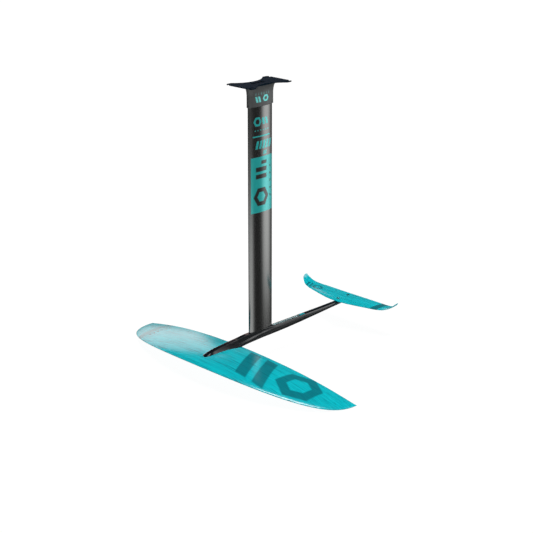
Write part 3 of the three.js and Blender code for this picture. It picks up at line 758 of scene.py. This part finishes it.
# Moulded rubber: dull and black.
rubber = plain_finish("moulded rubber", "0c0d0d", "151616", 1.5, 0.85)
wear(make_gasket(), rubber)
wear(make_collar(), painted_collar())
laminate = teal_laminate()
front_top, front_under = make_front_wing()
tail_blade = make_tail_wing()
for piece in (front_top, front_under, tail_blade):
    wear(piece, laminate)
wear(make_fuselage(), black_fuselage())

# Machined aluminium: a bright metal with a satin gloss.
machined = plain_finish("machined aluminium", "9fa2a4", "b0b3b5", 1.0, 0.35, 1.0)
# Blackened stainless steel: a dark metal with a satin gloss.
steel = plain_finish("blackened stainless steel", "2b2e30", "3d4042", 0.8, 0.35, 1.0)
# Closed-cell foam: cream and dull.
foam = plain_finish("closed-cell foam", "dcd3b4", "ebe4cb", 2.0, 0.9)
# Glass-fibre laminate: a dull green-grey.
glass_fibre = plain_finish("glass-fibre laminate", "6f7b5e", "87936f", 2.0, 0.6)
navy = navy_plate()
finishes = {
    "top_plate": navy,
    # The plate's screws get the same painted navy reflection.
    **{f"top_plate_screw_{i}": navy for i in (1, 2, 3)},
    "mast_head_block": machined,
    "mast_foot_block": machined,
    "front_wing_core": foam,
    "front_wing_hard_block": glass_fibre,
}
covered = {
    "mast", "mast_foot_gasket", "mast_head_collar", "front_wing_upper_skin", "front_wing_lower_skin",
    "stabiliser", "fuselage",
}
for name, part in parts.items():
    if name not in covered:
        wear(part, finishes.get(name, steel))

# ---- Floor and light ----

floor_z = loaded_bounds[0].z - 0.0005
floor_mesh = bpy.data.meshes.new("floor")
floor_corners = [(x, y, floor_z) for x, y in ((-40, -40), (40, -40), (40, 40), (-40, 40))]
floor_mesh.from_pydata(floor_corners, [], [(0, 1, 2, 3)])
floor = bpy.data.objects.new("floor", floor_mesh)
scene.collection.objects.link(floor)
floor.visible_glossy = False
floor.visible_shadow = False
floor_paint = bpy.data.materials.new("pale studio floor")
floor_paint.use_nodes = True
floor_shader = floor_paint.node_tree.nodes["Principled BSDF"]
floor_shader.inputs["Base Color"].default_value = paint("404040")
floor_shader.inputs["Roughness"].default_value = 1.0
floor_shader.inputs["Specular IOR Level"].default_value = 0.0
floor_shader.inputs["Emission Color"].default_value = (1, 1, 1, 1)
floor_shader.inputs["Emission Strength"].default_value = 0.97
floor_mesh.materials.append(floor_paint)


def panel(tree, compass, elevation, width, height, strength):
    """A soft-edged bright panel of the sky, in degrees. width gives the middle direction, the half
    width and the fade beside it, and height the low and high elevation and the fade past them. Its
    brightness is the product of the two smooth ramps and the strength."""
    middle, half_width, soft = width
    low, high, fade = height
    away = node(tree, "Math", {0: compass, 1: math.radians(middle)}, operation="SUBTRACT")
    wrapped = node(tree, "Math", {0: away.outputs[0], 1: math.pi, 2: -math.pi}, operation="WRAP")
    across = node(tree, "Math", {0: wrapped.outputs[0]}, operation="ABSOLUTE")
    wide = node(tree, "MapRange", {"Value": across.outputs[0], "From Min": math.radians(half_width + soft),
                                   "From Max": math.radians(half_width)}, interpolation_type="SMOOTHSTEP")
    rise = node(tree, "MapRange", {"Value": elevation, "From Min": math.radians(low - fade),
                                   "From Max": math.radians(low)}, interpolation_type="SMOOTHSTEP")
    fall = node(tree, "MapRange", {"Value": elevation, "From Min": math.radians(high + fade),
                                   "From Max": math.radians(high)}, interpolation_type="SMOOTHSTEP")
    tall = node(tree, "Math", {0: rise.outputs[0], 1: fall.outputs[0]}, operation="MULTIPLY")
    ramps = node(tree, "Math", {0: wide.outputs[0], 1: tall.outputs[0]}, operation="MULTIPLY")
    return node(tree, "Math", {0: ramps.outputs[0], 1: strength}, operation="MULTIPLY").outputs[0]


def light_studio():
    """A sky of soft panels in a dim room: its white light is the room's, brighter below the horizon
    than overhead, plus the panels', and a warm low panel to starboard is added to it."""
    world = bpy.data.worlds.new("studio")
    scene.world = world
    world.use_nodes = True
    tree = world.node_tree
    direction = node(tree, "TexCoord").outputs["Generated"]
    split = node(tree, "SeparateXYZ", {0: direction})
    compass = node(tree, "Math", {0: split.outputs["Y"], 1: split.outputs["X"]},
                   operation="ARCTAN2").outputs[0]
    elevation = node(tree, "Math", {0: split.outputs["Z"]}, operation="ARCSINE").outputs[0]
    room = node(tree, "MapRange", {"Value": split.outputs["Z"], "From Min": -0.1, "From Max": 0.5,
                                   "To Min": 0.09, "To Max": 0.035}).outputs[0]
    panels = [
        # A narrow one to port and aft, for the gloss behind the upper mast's crest.
        panel(tree, compass, elevation, (150, 4, 12), (-19.4, 46, 2.2), 2.7),
        # A wide one to port, below the horizon, for the gloss ahead of the lower mast's crest.
        panel(tree, compass, elevation, (78, 28, 15), (-31, -18.2, 2.5), 2.15),
        # One to port and aft, above the horizon, for the slopes of the bar.
        panel(tree, compass, elevation, (145, 6, 5), (4, 46, 8), 1.9),
        # The roof.
        panel(tree, compass, elevation, (0, 180, 1), (77, 95, 5), 13.5),
    ]
    total = room
    for brightness in panels:
        total = node(tree, "Math", {0: total, 1: brightness}, operation="ADD").outputs[0]
    tree.links.new(total, tree.nodes["Background"].inputs["Strength"])
    tree.nodes["Background"].inputs["Color"].default_value = (1, 1, 1, 1)
    # The warm one is to starboard, for the veil on the front wing's starboard half.
    low_panel = panel(tree, compass, elevation, (264, 37, 2), (8, 24.5, 18), 1.0)
    top_edge = node(tree, "MapRange", {"Value": elevation, "From Min": math.radians(26.5),
                                       "From Max": math.radians(24)}).outputs[0]
    warm_level = node(tree, "Math", {0: low_panel, 1: top_edge}, operation="MULTIPLY").outputs[0]
    warm_strength = node(tree, "Math", {0: warm_level, 1: 1.7}, operation="MULTIPLY").outputs[0]
    warm = node(tree, "Background", {"Color": paint("ffdad5"), "Strength": warm_strength})
    sky = node(tree, "AddShader", {0: tree.nodes["Background"].outputs[0], 1: warm.outputs[0]})
    tree.links.new(sky.outputs[0], tree.nodes["World Output"].inputs["Surface"])


light_studio()
scene.view_settings.view_transform = "Standard"
